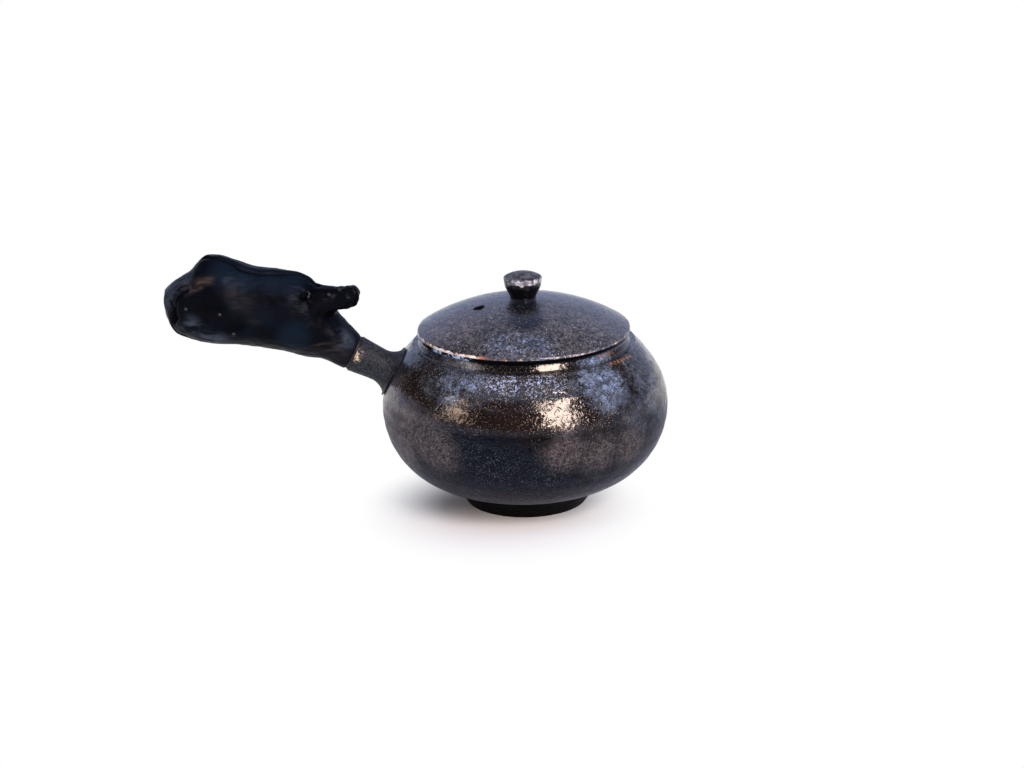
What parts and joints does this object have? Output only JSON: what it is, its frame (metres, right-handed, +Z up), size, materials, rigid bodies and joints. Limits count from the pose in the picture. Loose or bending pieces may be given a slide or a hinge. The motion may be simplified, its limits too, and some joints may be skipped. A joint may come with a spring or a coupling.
{
  "type": "side handle teapot",
  "caption": "Round stoneware side-handle teapot with a lift-off domed lid, a burl wood handle bedded in a clay socket, and a strainer spout.",
  "frame": {"origin": "centre of the foot ring on the table", "axes": "+Z up along the pot's axis, handle towards -X, spout towards +Y"},
  "size_m": [0.1735, 0.1238, 0.0908],
  "materials": {
    "body_glaze": "semi-gloss iron glaze",
    "foot_clay": "matte black clay",
    "neck_glaze": "semi-gloss iron glaze",
    "spout_glaze": "semi-gloss iron glaze",
    "strainer_clay": "matte clay",
    "socket_clay": "dry matte slip",
    "lacquer_putty": "matte lacquer putty",
    "burl_wood": "satin ebonised wood",
    "lid_glaze": "semi-matte iron glaze with a worn rim",
    "flange_clay": "matte clay",
    "knob_glaze": "semi-matte iron glaze with a worn edge"
  },
  "bodies": {
    "pot": {"pot_body": "body_glaze", "foot_ring": "foot_clay", "neck_ring": "neck_glaze", "spout": "spout_glaze", "strainer": "strainer_clay", "handle_socket": "socket_clay", "handle_bedding": "lacquer_putty", "wood_handle": "burl_wood"},
    "lid": {"lid_plate": "lid_glaze", "lid_flange": "flange_clay", "lid_knob": "knob_glaze"}
  },
  "joints": [
    {"name": "lid_lift", "type": "slide", "parent": "pot", "child": "lid", "axis": [0, 0, 1], "range_m": [0, 0.06]}
  ]
}
